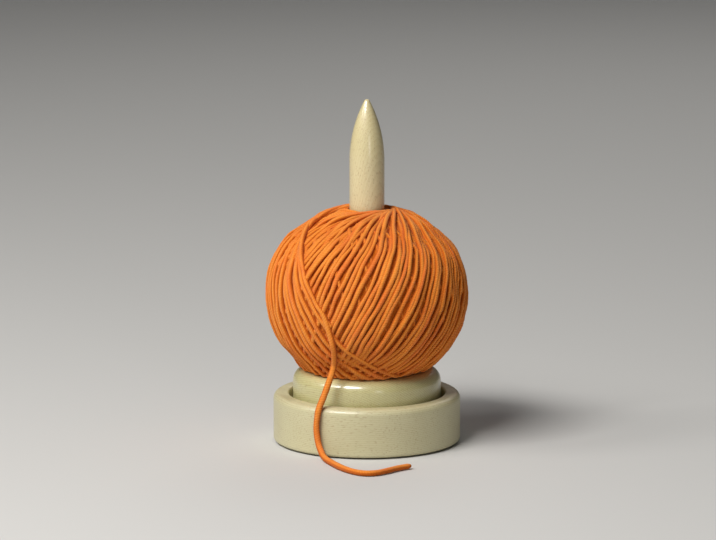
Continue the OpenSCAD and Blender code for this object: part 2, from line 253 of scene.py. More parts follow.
def mesh_of(name, points, quads, strand_place, deep, cap=0):
    """A mesh from quads, with the yarn's two attributes, and end caps of cap corners."""
    mesh = bpy.data.meshes.new(name)
    mesh.vertices.add(len(points))
    mesh.vertices.foreach_set("co", points.astype(np.float32).ravel())
    caps = [np.arange(cap)[::-1], np.arange(len(points) - cap, len(points))] if cap else []
    corners = np.concatenate([quads.ravel(), *caps]).astype(np.int32)
    sizes = [4] * len(quads) + [cap] * len(caps)
    starts = np.concatenate([[0], np.cumsum(sizes)[:-1]]).astype(np.int32)
    mesh.loops.add(len(corners))
    mesh.loops.foreach_set("vertex_index", corners)
    mesh.polygons.add(len(sizes))
    mesh.polygons.foreach_set("loop_start", starts)
    mesh.polygons.foreach_set("use_smooth", np.ones(len(sizes), bool))
    for label, kind, field, values in (
        ("strand_place", "FLOAT_VECTOR", "vector", strand_place),
        ("depth_and_shade", "FLOAT", "value", deep),
    ):
        layer = mesh.attributes.new(label, kind, "POINT")
        layer.data.foreach_set(field, values.astype(np.float32).ravel())
    mesh.update(calc_edges=True)
    mesh.validate()
    return mesh


# %% [markdown]
# ## The free end of the yarn
#
# From the ball the strand hangs over the cup's rim, runs down its wall and lies in a loose
# curve on the table. The route repeats the points of the mechanical model's plain tube, so the
# two lie in one place, and it gives the strand the length that the picture shows.

# %% The route of the free end
tail_route_mm = [
    (-19.5, -46.5, 67), (-20, -47.5, 63), (-21, -48.5, 58.5), (-22.5, -49.5, 53), (-24.5, -50.5, 47),
    (-26.5, -51.5, 41.5), (-28.5, -52.5, 36.5), (-30.5, -53.5, 31.5), (-31.5, -54, 26), (-32, -54, 20),
    (-31.5, -54.5, 14), (-30.5, -56, 9), (-29, -59, 5.5), (-27.5, -63, 3.2), (-25.5, -68, 2.2),
    (-23, -74.5, 2.1), (-20, -82, 2.1), (-16.5, -89.5, 2.1), (-12, -97, 2.1), (-6.5, -103.5, 2.1),
    (0, -106.5, 2.1), (6.5, -104.5, 2.1), (12.5, -99, 2.1), (19, -92, 2.1), (27, -85.5, 2.1),
]
tail_route = np.array(tail_route_mm, float) / 1000
tail_step = 0.0007
tail_line = smooth_line(tail_route, tail_step)
tail_along = length_along(tail_line)
tail_length = tail_along[-1]
print("free end:", round(tail_length * 1000, 1), "mm")

tail_bumps = ((0.05, 0.012, 3), (0.03, 0.004, 4))  # share of the radius, wavelength, seed
thins_at = (0.09, 0.13, tail_length - 0.002, tail_length)
thins_to = (1, 0.86, 0.86, 0.6)  # it thins towards the end and tapers where it is cut
tail_radius = yarn_d / 2 * uneven(tail_along, 1, tail_bumps)
tail_radius *= np.interp(tail_along, thins_at, thins_to)
table_height, hang_blend = 0.004, 0.02  # outward is up on the table, and forward above it
tail_out = np.tile((0.0, -0.35, 1.0), (len(tail_line), 1))
tail_out[:, 1] -= np.clip(tail_line[:, 2] - table_height, 0, hang_blend) / hang_blend * 3
tail_mesh = strand_mesh("yarn_free_end", tail_line, tail_out, tail_radius, end_sides)
yarn_end = new_object("yarn_free_end", tail_mesh)
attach(yarn_end, "yarn_unit")
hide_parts("yarn_tail")
print("free end:", len(yarn_end.data.polygons), "faces")

# %% [markdown]
# ## The ball, wound strand by strand
#
# A ball that was wound by hand or on a winder shows it: each turn is a nearly flat loop that
# leans away from the spindle, and every new loop lies a strand's width further round. So the
# front shows strands that rise to the right, and on the left the last turns cross over them the
# other way. The ball is therefore wound here in the same order. First come its shape and its
# loops, then a count of how many strands already lie under each point, which lifts the new
# strand on top of the old ones.

# %% The ball's shape
ball_low, ball_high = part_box("yarn_ball")
ball_r = (ball_high.x - ball_low.x) / 2
crown_h, crown_fullness = 0.056, 2.2  # above the widest level, where fullness 2 is an ellipse
lower_h, lower_fullness = 0.0655, 1.85  # below the widest level
widest_z = 0.0955
seat_z = ball_low.z
hole_room = 0.001
spindle_low, spindle_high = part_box("spindle")
spindle_r = (spindle_high.x - spindle_low.x) / 2
hole_r = spindle_r + hole_room
ball_middle = np.array([0.0, 0.0, widest_z])


def ball_reach(direction):
    """From the ball's middle to its skin, along unit directions."""
    upper = direction[:, 2] > 0
    height = np.where(upper, crown_h, lower_h)
    fullness = np.where(upper, crown_fullness, lower_fullness)
    across = np.hypot(direction[:, 0], direction[:, 1]) / ball_r
    upright = np.abs(direction[:, 2]) / height
    return (across**fullness + upright**fullness) ** (-1 / fullness)


print("ball: radius", round(ball_r * 1000, 1), "mm, hole radius", round(hole_r * 1000, 1), "mm")

# %% [markdown]
# ### The loops
#
# A loop is a great circle whose plane leans from the spindle by the lean angle and faces the
# heading angle. The heading grows a little with every turn, which walks the loops round the
# ball. The first turns stand close to the spindle and go once round in wide steps, so they close
# the crown. The later ones lean more, and half a turn of heading covers the ball with them once,
# because each loop has a rising and a falling side. At the crown they bend in and pass close to
# the spindle. The last turns, the band, lie further apart and looser. The lean changes slowly, as
# it does by hand.

# %% Headings and leans of the loops
upright_until, band_from, last_heading = 50.0, 284.0, 332.0
upright_turns, leaning_turns, band_turns = 60, 62, 11
heading_step = (band_from - upright_until) / leaning_turns  # degrees from one turn to the next
band_step = (last_heading - band_from) / band_turns
band_first_turn = upright_turns + leaning_turns
turns = band_first_turn + band_turns
leans = (  # heading, lean above the widest level, below it and at the top, in degrees
    (upright_until, 13.5, 14, 13.5), (80, 18, 19, 14), (120, 22, 23, 14.5), (152, 22, 23, 15),
    (174, 26, 27.5, 16), (191, 25, 28, 18), (210, 23, 31, 21), (232, 20, 27, 20),
    (250, 17, 21, 17), (270, 14, 15, 13.5), (285, 12.5, 11, 13), (300, 12.5, 12, 13),
    (310, 17, 21, 17), (321, 23.5, 31.5, 23.5), (332, 29.5, 39, 29.5),
)
ridge_spacing = 12.0  # degrees between the grooves that part the turns into bundles
ridge_pull = 0.45  # degrees that a turn is pulled towards the middle of its bundle
ridges_fade = 8.0  # degrees over which the bundles give way to the band
sway_share = 0.010  # how far the lay is pushed to and fro, as a share of the ball's radius
strand_step = 0.0011
end_angle = math.radians(11.7)  # how far round its last loop the strand runs


def loop_heading(turn_number):
    return np.interp(
        turn_number,
        (0, upright_turns, band_first_turn, turns + 1),
        (upright_until - 360, upright_until, band_from, last_heading + band_step),
    )


def bundled(heading):
    """1 where the turns lie in bundles, and 0 in the band."""
    return 1 - np.clip((heading - band_from) / ridges_fade, 0, 1)


def loop_directions(turn_number):
    """Unit directions of the strand, for turn numbers that grow along it."""
    angle = 2 * math.pi * turn_number
    quarter = turn_number * 4
    heading = loop_heading(turn_number)
    at, *lean_columns = zip(*leans)
    upper, lower, top = (np.interp(heading, at, column) for column in lean_columns)
    lean = (upper + lower) / 2 + (lower - upper) / 2 * np.sin(angle) + 0.8 * wobble(quarter, 3.1, 13)
    lean += (top - lean) * eased(np.clip((-np.sin(angle) - 0.6) / 0.4, 0, 1))
    heading = heading - ridge_pull * bundled(heading) * np.sin(2 * math.pi * heading / ridge_spacing)
    heading = heading + heading_step * (
        0.34 * wobble(quarter, 0.9, 11)
        + 0.24 * wobble(quarter + 1.7, 2.6, 12)
        + 0.22 * wobble(quarter, 0.27, 14)
        + 0.12 * wobble(quarter, 0.11, 15)
    )
    h, a = np.radians(heading), np.radians(lean)
    start = np.stack([np.sin(h), -np.cos(h), 0 * h], axis=1)
    climb = np.stack([np.sin(a) * np.cos(h), np.sin(a) * np.sin(h), -np.cos(a)], axis=1)
    return np.cos(angle)[:, None] * start + np.sin(angle)[:, None] * climb


def sway(direction):
    """Pushes the lay of the strands a little to and fro, so that neighbours bend together."""
    x, y, z = direction.T
    push = np.stack(
        [
            np.sin(5.1 * y + 2.2 * z + 0.4) + 0.6 * np.sin(9.7 * z - 4.0 * x),
            np.sin(4.3 * z - 3.1 * x + 1.9) + 0.6 * np.sin(8.9 * x + 5.0 * y + 1.0),
            np.sin(4.7 * x + 2.9 * y + 3.3) + 0.6 * np.sin(10.3 * y - 3.0 * z),
        ],
        axis=1,
    )
    return unit(direction + sway_share * push)


# %% [markdown]
# ### How high each strand lies
#
# A map of the ball's skin holds the number of layers laid so far in each small cell. The strand
# looks up the cells under it, is lifted by one layer, and writes its own number back. Wool packs
# down under tension, so a strand stands out by how its number compares with its neighbourhood's
# mean, measured in the neighbourhood's own spread. Where turns crowd together near the crown and
# the foot, a real ball shows a few strands in full and hides the others under them. There the
# turns in the middle of a bundle are lifted and the others sink.

# %% Layer map
map_rows, map_columns = 360, 720
packed_rise = 0.0013  # how far the highest layers stand out from the mean
packed_fall = 0.0023  # how far the lowest layers lie below it
least_spread = 0.8  # layers
strand_lift = 0.00040  # how far single turns stand out or sink in, beyond their layer
crowded_lift = 0.00065  # the same where they crowd together
bundle_lift = 0.00110  # how far a bundle's middle stands out where they crowd
band_lift = 0.0006  # how far the band's turns lie on top of them there
skin_margin = 0.0004  # the mean layer lies this much under the ball's outline
# painted shade: the wool's colour is darkened by how deep a strand lies, in full at this depth
shade_depth = 0.0055  # a strand that lies this deep is in full shade
crowded_shade = 0.0035  # so much less is enough where the strands crowd
look_offsets = (-0.0006, 0.0, 0.0006)  # where a strand looks for others under it, sideways
print_half = 0.0013  # half the width of the print that it leaves on the map
foot_lift = 0.002  # how much higher above the seat the deepest strands are kept


def map_place(direction):
    """Row and column on the map, with fractions."""
    row = np.arccos(np.clip(direction[:, 2], -1, 1)) / math.pi * map_rows
    column = np.arctan2(direction[:, 1], direction[:, 0]) / (2 * math.pi) % 1 * map_columns
    return row, column


def map_cells(direction):
    row, column = map_place(direction)
    return np.clip(row.astype(int), 0, map_rows - 1), column.astype(int) % map_columns


def sampled(grid, direction):
    """Values of a map between the middles of its cells."""
    row, column = map_place(direction)
    row, column = np.clip(row - 0.5, 0, map_rows - 1.001), column - 0.5
    i, j = row.astype(int), np.floor(column).astype(int)
    s, t = row - i, column - j
    j, k = j % map_columns, (j + 1) % map_columns
    upper = grid[i, j] * (1 - t) + grid[i, k] * t
    lower = grid[i + 1, j] * (1 - t) + grid[i + 1, k] * t
    return upper * (1 - s) + lower * s


def blurred(grid, half, mix=np.mean):
    """Each cell becomes the mean, or another mix, of the cells up to half away from it."""
    tall = np.pad(grid, ((half, half), (0, 0)), mode="edge")
    grid = mix([tall[i : i + len(grid)] for i in range(2 * half + 1)], axis=0)
    return mix([np.roll(grid, i, axis=1) for i in range(-half, half + 1)], axis=0)


def beside(direction, ahead, offset):
    """Directions a distance offset to the side of the strand."""
    side = np.cross(ahead, direction)
    return unit(direction + side * (offset / ball_r))


def spread_along(values, width):
    """A running mean along the strand."""
    width = max(1, int(width))
    padded = np.pad(values, (width, width), mode="edge")
    return np.convolve(padded, np.ones(2 * width + 1) / (2 * width + 1), "valid")


# %% Wind the strand
turn_points = int(round(2 * math.pi * ball_r / strand_step))


def wind():
    """Directions along the whole strand and the number of layers under each point."""
    layers_map = np.zeros((map_rows, map_columns))
    count = int(turn_points * (turns + end_angle / (2 * math.pi)))
    turn_number = np.arange(count + 1) / turn_points
    direction = sway(loop_directions(turn_number))
    ahead = unit(np.gradient(direction, axis=0))
    layers = np.zeros(count + 1)
    piece = turn_points // 4
    for first in range(0, count + 1, piece):
        part = slice(first, min(first + piece, count + 1))
        under = np.zeros(part.stop - part.start)
        for offset in look_offsets:
            cells = map_cells(beside(direction[part], ahead[part], offset))
            under = np.maximum(under, layers_map[cells])
        peak = under.copy()
        for shift in range(1, 4):
            peak[shift:] = np.maximum(peak[shift:], under[:-shift])
            peak[:-shift] = np.maximum(peak[:-shift], under[shift:])
        layers[part] = spread_along(peak, 4) + 1
        for offset in np.linspace(-print_half, print_half, 9):
            level = layers[part] - 0.5 * (offset / print_half) ** 2
            for shift in (0.0, 0.4):
                moved = direction[part] + ahead[part] * (shift * strand_step / ball_r)
                cells = map_cells(beside(moved, ahead[part], offset))
                np.maximum.at(layers_map, cells, level)
    return direction, spread_along(layers, 3), layers_map


strand_direction, strand_layers, layers_map = wind()
wound_length = len(strand_direction) * strand_step
print("wound:", len(strand_direction), "points,", round(wound_length, 1), "m of yarn")

# %% [markdown]
# ### From directions to places
#
# The finished skin has to be the ball's real outline. So each strand is placed from that
# outline: one at the neighbourhood's mean layer lies just under it, and the others lie further
# out or in. Near the spindle the strands are kept off the hole, and at the bottom they are
# pressed flat on the disc.

# %% Place the strand
row_means = np.array([row[row > 0].mean() if (row > 0).any() else np.nan for row in layers_map])
known = np.flatnonzero(~np.isnan(row_means))
row_means = np.interp(np.arange(map_rows), known, row_means[known])
mean_layers = np.where(layers_map > 0, layers_map, row_means[:, None])
mean_square = mean_layers**2
for half_width in (12, 12, 6):
    mean_layers, mean_square = blurred(mean_layers, half_width), blurred(mean_square, half_width)
layer_spread = np.sqrt(np.maximum(mean_square - mean_layers**2, least_spread**2))


def keep_clear(points, lift):
    """Keeps strand middles off the spindle hole and above the seat."""
    flat = np.hypot(points[:, 0], points[:, 1])
    wanted = hole_r + wound_d / 2
    grow = np.where(flat < wanted, wanted / np.maximum(flat, 1e-6), 1.0)
    points[:, 0] *= grow
    points[:, 1] *= grow
    lowest = seat_z + wound_d / 2 + lift
    points[:, 2] = np.where(points[:, 2] < lowest, lowest, points[:, 2])
    return points


def near_poles(full_until, fades_over):
    """1 near the ball's crown and foot, where the turns crowd, and 0 round its middle."""
    sideways = np.hypot(strand_direction[:, 0], strand_direction[:, 1])
    return 1 - np.clip((sideways - full_until) / fades_over, 0, 1)


skin_reach = ball_reach(strand_direction)
strand_so_far = np.arange(len(skin_reach)) * strand_step
crowding = near_poles(0.50, 0.40)
lift = strand_lift + (crowded_lift - strand_lift) * crowding
lift = lift * uneven(strand_so_far, 0, ((1.0, 0.030, 31), (0.6, 0.011, 32)))
above_mean = strand_layers - sampled(mean_layers, strand_direction)
packed_range = np.where(above_mean > 0, packed_rise, packed_fall)
layer_gain = packed_range * np.tanh(above_mean / sampled(layer_spread, strand_direction)) - skin_margin
heading_so_far = loop_heading(np.arange(len(skin_reach)) / turn_points)
in_bundles = bundled(heading_so_far)
lift += bundle_lift * crowding * in_bundles * np.cos(2 * math.pi * heading_so_far / ridge_spacing)
lift += band_lift * crowding * (1 - in_bundles)
strand_sink = wound_d / 2 - layer_gain - lift
strand_reach = skin_reach - strand_sink
# painted shade: each strand's share of the darkening in its colour, by how deep it lies
full_shade = shade_depth - crowded_shade * near_poles(0.55, 0.45)
depth_and_shade = np.clip((strand_sink - wound_d / 2) / full_shade, 0, 1)
strand_line = ball_middle + strand_direction * strand_reach[:, None]
strand_line = keep_clear(strand_line, foot_lift * depth_and_shade)
print("strand: deepest share", round(float(depth_and_shade.max()), 2))

# %% [markdown]
# ### The end of the last turn
#
# Where the last turn reaches the front it leaves its loop, bends down over the other strands
# and becomes the free end. The join is hidden by letting the two run inside each other for a
# few millimetres.

# %% Lead the strand into the free end
leaving_angles = ((-110.9, -17.5), (-110.8, -26.0))  # bearing and height on the ball, in degrees
overlap, stride = 24, 8  # the lead starts among the strand's last 24 points, taking every 8th


def on_ball(bearing, height, above):
    """A point above the ball's skin, at a bearing and a height in degrees."""
    b, h = math.radians(bearing), math.radians(height)
    direction = np.array([[math.cos(b) * math.cos(h), math.sin(b) * math.cos(h), math.sin(h)]])
    return (ball_middle + direction * (ball_reach(direction)[:, None] + above))[0]


leaving = [on_ball(b, h, wound_d / 2) for b, h in leaving_angles]
lead_points = np.vstack([strand_line[-overlap::stride], leaving, tail_route[2:5]])
lead_line = smooth_line(lead_points, strand_step)[stride:]
lead_along = length_along(lead_line)
lead_radius = np.interp(lead_along, (0, 0.012), (wound_d / 2, yarn_d / 2 * 0.96))
lead_out = lead_line - ball_middle
print("lead:", round(lead_along[-1] * 1000, 1), "mm")

# %% [markdown]
# ### Cut the strand into pieces
#
# The strand is cut into four pieces, so that no single mesh is too heavy. The inner turns are
# almost covered, so they are one piece with fewer sides and steps.

# %% Build the wound pieces
first_kept_turn = 2
piece_turns = 24  # turns in each of the first two outer pieces
band_swell = 0.12  # how much thicker the looser band is, as a share of the radius
strand_bumps = ((0.14, 0.018, 21), (0.12, 0.09, 22), (0.07, 0.005, 23))  # share, wavelength, seed
strand_along = length_along(strand_line)
strand_turn = np.arange(len(strand_line)) / turn_points
strand_swell = 1 + band_swell * np.clip((strand_turn - band_first_turn) / 3, 0, 1)
strand_radius = wound_d / 2 * uneven(strand_along, strand_swell, strand_bumps)
strand_out = strand_line - ball_middle
wound_pieces = []


def wound_piece(name, first_turn, last_turn, sides, skip):
    """One mesh of the strand from turn to turn, with every skip-th of its points."""
    first = int(first_turn * turn_points)
    last = min(int(last_turn * turn_points) + skip, len(strand_line) - 1)
    pick = np.arange(first, last + 1, skip)
    mesh = strand_mesh(
        name,
        strand_line[pick],
        strand_out[pick],
        strand_radius[pick],
        sides,
        flatten=0.95,
        depth=depth_and_shade[pick],
        start=strand_along[first],
    )
    wound_pieces.append(new_object(name, mesh))


wound_piece("yarn_turns_inner", first_kept_turn, upright_turns, inner_sides, skip=2)
outer_cuts = (upright_turns, upright_turns + piece_turns, upright_turns + 2 * piece_turns, turns + 1)
for i, (a, b) in enumerate(zip(outer_cuts[:-1], outer_cuts[1:]), 1):
    wound_piece(f"yarn_turns_outer_{i}", a, b, outer_sides, skip=1)
lead_start = strand_along[stride - overlap - 1]
lead_mesh = strand_mesh("yarn_turn_end", lead_line, lead_out, lead_radius, end_sides, start=lead_start)
wound_pieces.append(new_object("yarn_turn_end", lead_mesh))
print("wound pieces:", [(o.name, len(o.data.polygons)) for o in wound_pieces])

# %% [markdown]
# ### The heart of the ball
#
# Under the modelled turns lies the older yarn. It shows only as a warm ground in the grooves,
# painted dark as shade, and as the wall of the hole when the ball is lifted off the spindle.
# The ground is one skin that follows the turns on it at a small depth, and a strand coiled
# round the hole makes the wall.

# %% Measure the ground under the turns
ground_depth = 0.0012  # below the middles of the highest turns nearby
bare_sink = 0.002  # the depth taken where no turn passes
sink_map = np.full((map_rows, map_columns), np.inf)
strand_ahead = unit(np.gradient(strand_direction, axis=0))
for offset in np.linspace(-0.0012, 0.0012, 7):
    np.minimum.at(sink_map, map_cells(beside(strand_direction, strand_ahead, offset)), strand_sink)
sink_map = np.where(np.isinf(sink_map), bare_sink, sink_map)
ground_sink = blurred(blurred(sink_map, 2, np.min), 4) + ground_depth

# %% Build the heart
heart_rows = 150
heart_columns = 360
# painted shade: the ground gets this share of the full painted shade
heart_shade = 0.8  # how deep in shade the ground lies
ground_waves = 900  # of the ground's colour, in radians per metre
wall_r = hole_r + wound_d * 0.8
spin = np.arange(heart_columns) * 2 * math.pi / heart_columns
polar = np.linspace(0.0, math.pi, heart_rows)
heart_dirs = np.stack(
    [
        np.outer(np.sin(polar), np.cos(spin)),
        np.outer(np.sin(polar), np.sin(spin)),
        np.outer(np.cos(polar), np.ones(heart_columns)),
    ],
    axis=2,
).reshape(-1, 3)
heart_reach = ball_reach(heart_dirs) - sampled(ground_sink, heart_dirs)
heart_points = heart_dirs * heart_reach[:, None] + ball_middle
heart_points = heart_points.reshape(heart_rows, heart_columns, 3)
clear = np.hypot(heart_points[:, :, 0], heart_points[:, :, 1]).min(axis=1) > wall_r
heart_points = heart_points[clear]
heart_points[:, :, 2] = np.clip(heart_points[:, :, 2], seat_z + wound_d * 0.9, None)
wall_top, wall_foot = heart_points[0, :, 2].mean(), heart_points[-1, :, 2].mean()


def wall_ring(z):
    return np.stack([wall_r * np.cos(spin), wall_r * np.sin(spin), np.full(heart_columns, z)], axis=1)


heart_rings = np.concatenate([[wall_ring(wall_top)], heart_points, [wall_ring(wall_foot)]])
ring = np.arange(heart_columns)
row = (np.arange(len(heart_rings)) * heart_columns)[:, None]
below = np.roll(row, -1, axis=0)
following = (ring + 1) % heart_columns
heart_quads = np.stack([row + ring, below + ring, below + following, row + following], axis=2)
heart_points = heart_rings.reshape(-1, 3)
x, y, z = heart_points.T
heart_place = [0.5 + 0.5 * np.cos(x * ground_waves), np.sin(y * ground_waves), z]
heart_place = np.stack(heart_place, axis=1)
heart_deep = np.full(len(heart_points), heart_shade)
heart_mesh = mesh_of("yarn_heart", heart_points, heart_quads.reshape(-1, 4), heart_place, heart_deep)
heart = new_object("yarn_heart", heart_mesh)

# %% Build the wall of the hole
coil_pitch = wound_d * 0.92
coil_low, coil_high = seat_z + wound_d / 2, wall_top + 0.001
coil_turns = (coil_high - coil_low) / coil_pitch
coil_t = np.linspace(0, 1, int(coil_turns * 64))
coil_angle = coil_t * coil_turns * 2 * math.pi
coil_r = hole_r + wound_d / 2 + 0.0004
coil_z = coil_low + coil_t * (coil_high - coil_low)
coil_line = np.stack([coil_r * np.cos(coil_angle), coil_r * np.sin(coil_angle), coil_z], axis=1)
coil_out = -coil_line * (1, 1, 0)
coil_radius = np.full(len(coil_line), wound_d / 2)
coil_mesh = strand_mesh("yarn_hole_wall", coil_line, coil_out, coil_radius, outer_sides)
coil = new_object("yarn_hole_wall", coil_mesh)
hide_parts("yarn_ball")
for piece in wound_pieces + [heart, coil]:
    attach(piece, "yarn_unit")
print("heart and wall:", len(heart.data.polygons), len(coil.data.polygons))

# %% [markdown]
# ## Finishes
#
# Every finish is made of shader nodes. What several share is a node group with named inputs,
# built once. Small helpers keep the wiring readable.

# %% Node helpers


def node(tree, kind, **settings):
    made = tree.nodes.new(kind)
    for key, value in settings.items():
        setattr(made, key, value)
    return made


def join(tree, source, target):
    """Links an output to a socket, or sets a number or a colour on it."""
    if isinstance(source, (int, float, tuple)):
        target.default_value = source
    else:
        tree.links.new(source, target)


def set_inputs(target, **values):
    for key, value in values.items():
        target.inputs[key.replace("_", " ")].default_value = value


def maths(tree, operation, *values):
    made = node(tree, "ShaderNodeMath", operation=operation)
    for socket, value in zip(made.inputs, values):
        join(tree, value, socket)
    return made.outputs[0]


def scaled(tree, value, factor, offset=0.0):
    """value times factor plus offset."""
    return maths(tree, "MULTIPLY_ADD", value, factor, offset)


def from_axis(tree, a, b):
    """How far a point lies from an axis, by its two distances across it."""
    return maths(tree, "SQRT", maths(tree, "MULTIPLY_ADD", a, a, maths(tree, "MULTIPLY", b, b)))


def split(tree, vector):
    made = node(tree, "ShaderNodeSeparateXYZ")
    join(tree, vector, made.inputs[0])
    return made.outputs


def vector_of(tree, *parts):
    made = node(tree, "ShaderNodeCombineXYZ")
    for socket, part in zip(made.inputs, parts):
        join(tree, part, socket)
    return made.outputs[0]


def new_group(name, inputs, outputs):
    """An empty node group. inputs is {name: (socket type, value)}, outputs {name: socket type}."""
    tree = bpy.data.node_groups.new(name, "ShaderNodeTree")
    for label, (kind, value) in inputs.items():
        socket = tree.interface.new_socket(label, in_out="INPUT", socket_type=kind)
        if value is not None:
            socket.default_value = value
    for label, kind in outputs.items():
        tree.interface.new_socket(label, in_out="OUTPUT", socket_type=kind)
    return tree, node(tree, "NodeGroupInput").outputs, node(tree, "NodeGroupOutput").inputs


def blend_colours(tree, share, a, b):
    made = node(tree, "ShaderNodeMix", data_type="RGBA")
    for socket, value in ((made.inputs[0], share), (made.inputs[6], a), (made.inputs[7], b)):
        join(tree, value, socket)
    return made.outputs[2]


def steps(tree, value, low, high):
    """value goes smoothly from 0 at low to 1 at high."""
    made = node(tree, "ShaderNodeMapRange", interpolation_type="SMOOTHSTEP")
    for socket, source in zip(made.inputs, (value, low, high)):
        join(tree, source, socket)
    return made.outputs[0]


def noise(tree, place, scale, detail=2.0, roughness=0.5):
    made = node(tree, "ShaderNodeTexNoise")
    join(tree, place, made.inputs["Vector"])
    join(tree, scale, made.inputs["Scale"])
    set_inputs(made, Detail=detail, Roughness=roughness)
    return made.outputs["Fac"]


COLOUR, NUMBER, VECTOR = "NodeSocketColor", "NodeSocketFloat", "NodeSocketVector"
FINISH = {"Colour": COLOUR, "Roughness": NUMBER, "Height": NUMBER}  # outputs of every group but the wool

# %% [markdown]
# ### Beech
#
# Beech is a pale, even wood. What tells it from others is its short brown flecks, a millimetre
# or two long, on faces cut along the grain, and faint growth lines. Both are solid patterns
# here, stretched along the grain, so a turned face cuts them as a lathe does.

# %% Beech grain group


def beech_group():
    tree, given, out = new_group(
        "Beech grain",
        {
            "Place": (VECTOR, None),
            "Pale": (COLOUR, (0.60, 0.46, 0.28, 1)),
            "Warm": (COLOUR, (0.50, 0.35, 0.19, 1)),
            "Fleck": (COLOUR, (0.30, 0.17, 0.08, 1)),
            "Ring Spacing": (NUMBER, 0.0013),
            "Ring Strength": (NUMBER, 0.35),
            "Fleck Strength": (NUMBER, 0.35),
        },
        FINISH,
    )

    def stretched(x, y, z):
        made = node(tree, "ShaderNodeVectorMath", operation="MULTIPLY")
        join(tree, given["Place"], made.inputs[0])
        made.inputs[1].default_value = (x, y, z)
        return made.outputs[0]

    drift = noise(tree, stretched(5, 22, 22), 1.0, 2.0)
    _, y, z = split(tree, given["Place"])
    radius = scaled(tree, drift, 0.004, from_axis(tree, y, z))
    ring = maths(tree, "FRACT", maths(tree, "DIVIDE", radius, given["Ring Spacing"]))
    ring_line = steps(tree, ring, 0.30, 1.0)
    broad = noise(tree, stretched(9, 40, 40), 1.0, 2.0)
    fibre = noise(tree, stretched(120, 1900, 1900), 1.0, 2.0, 0.6)
    fleck_field = noise(tree, stretched(330, 1500, 1500), 1.0, 1.0, 0.4)
    fleck_zone = noise(tree, stretched(25, 90, 90), 1.0, 1.0)
    fleck_field = maths(tree, "ADD", fleck_field, scaled(tree, fleck_zone, 0.12, -0.06))
    fleck = steps(tree, fleck_field, 0.60, 0.70)
    warmth = scaled(tree, ring_line, given["Ring Strength"], scaled(tree, broad, 0.75))
    warmth = maths(tree, "ADD", warmth, scaled(tree, fibre, 0.5, -0.25))
    ground = blend_colours(tree, steps(tree, warmth, 0.1, 1.05), given["Pale"], given["Warm"])
    fleck_share = maths(tree, "MULTIPLY", fleck, given["Fleck Strength"])
    join(tree, blend_colours(tree, fleck_share, ground, given["Fleck"]), out["Colour"])
    join(tree, scaled(tree, fleck, 0.08, scaled(tree, fibre, 0.14, 0.40)), out["Roughness"])
    join(tree, scaled(tree, fleck, -0.8, scaled(tree, fibre, 0.5)), out["Height"])
    return tree


beech_grain = beech_group()

# %% Beech finishes for the three turned pieces


def plain_material(name):
    material = bpy.data.materials.new(name)
    material.use_nodes = True
    return material, material.node_tree, material.node_tree.nodes["Principled BSDF"]


def placed(tree, turn, shift):
    """Object coordinates, turned and shifted if a turn is given."""
    place = node(tree, "ShaderNodeTexCoord").outputs["Object"]
    if turn is None:
        return place
    made = node(tree, "ShaderNodeMapping")
    join(tree, place, made.inputs[0])
    set_inputs(made, Rotation=[math.radians(a) for a in turn], Location=shift)
    return made.outputs[0]


def bump(tree, height, strength, distance, shader):
    made = node(tree, "ShaderNodeBump")
    set_inputs(made, Strength=strength, Distance=distance)
    join(tree, height, made.inputs["Height"])
    join(tree, made.outputs[0], shader.inputs["Normal"])


def grouped(name, effect, relief, turn=None, shift=None, **values):
    """A material whose colour, gloss and relief come from one node group, with its own values."""
    material, tree, shader = plain_material(name)
    group = node(tree, "ShaderNodeGroup", node_tree=effect)
    join(tree, placed(tree, turn, shift), group.inputs["Place"])
    set_inputs(group, **values)
    join(tree, group.outputs["Colour"], shader.inputs["Base Color"])
    join(tree, group.outputs["Roughness"], shader.inputs["Roughness"])
    bump(tree, group.outputs["Height"], *relief, shader)
    return material, shader


def beech(name, polish, **values):
    """turn lays X along the grain, and shift says how far off the tree's middle lies."""
    material, shader = grouped(name, beech_grain, (0.25, 0.0002), **values)
    set_inputs(shader, Coat_Weight=polish, Coat_Roughness=0.22, Coat_IOR=1.8)
    return material


beech_base = beech(
    "beech_base", turn=(0, 0, 8), shift=(0, 0.03, 0.34), Ring_Spacing=0.0012,
    Ring_Strength=0.34, Fleck_Strength=0.35, polish=0.25,
    Pale=(0.615, 0.575, 0.355, 1), Warm=(0.505, 0.447, 0.250, 1),
)
beech_turntable = beech(
    "beech_turntable", turn=(6, 0, 52), shift=(0, 0.16, 0.20), Ring_Spacing=0.0013,
    Ring_Strength=0.42, Fleck_Strength=0.35, polish=0.8,
    Pale=(0.590, 0.550, 0.280, 1), Warm=(0.460, 0.415, 0.170, 1),
)
beech_spindle = beech(
    "beech_spindle", turn=(0, 90, 20), shift=(0, 0.11, 0.16), Ring_Spacing=0.0017,
    Ring_Strength=0.22, Fleck_Strength=0.30, polish=0.7,
    Pale=(0.685, 0.600, 0.340, 1), Warm=(0.590, 0.480, 0.245, 1),
)


def repaint(material, *names):
    """Gives these CAD nodes one material."""
    for name in names:
        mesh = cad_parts[name].data
        mesh.materials.clear()
        mesh.materials.append(material)


repaint(beech_base, "base")
repaint(beech_turntable, "turntable")
repaint(beech_spindle, "spindle")
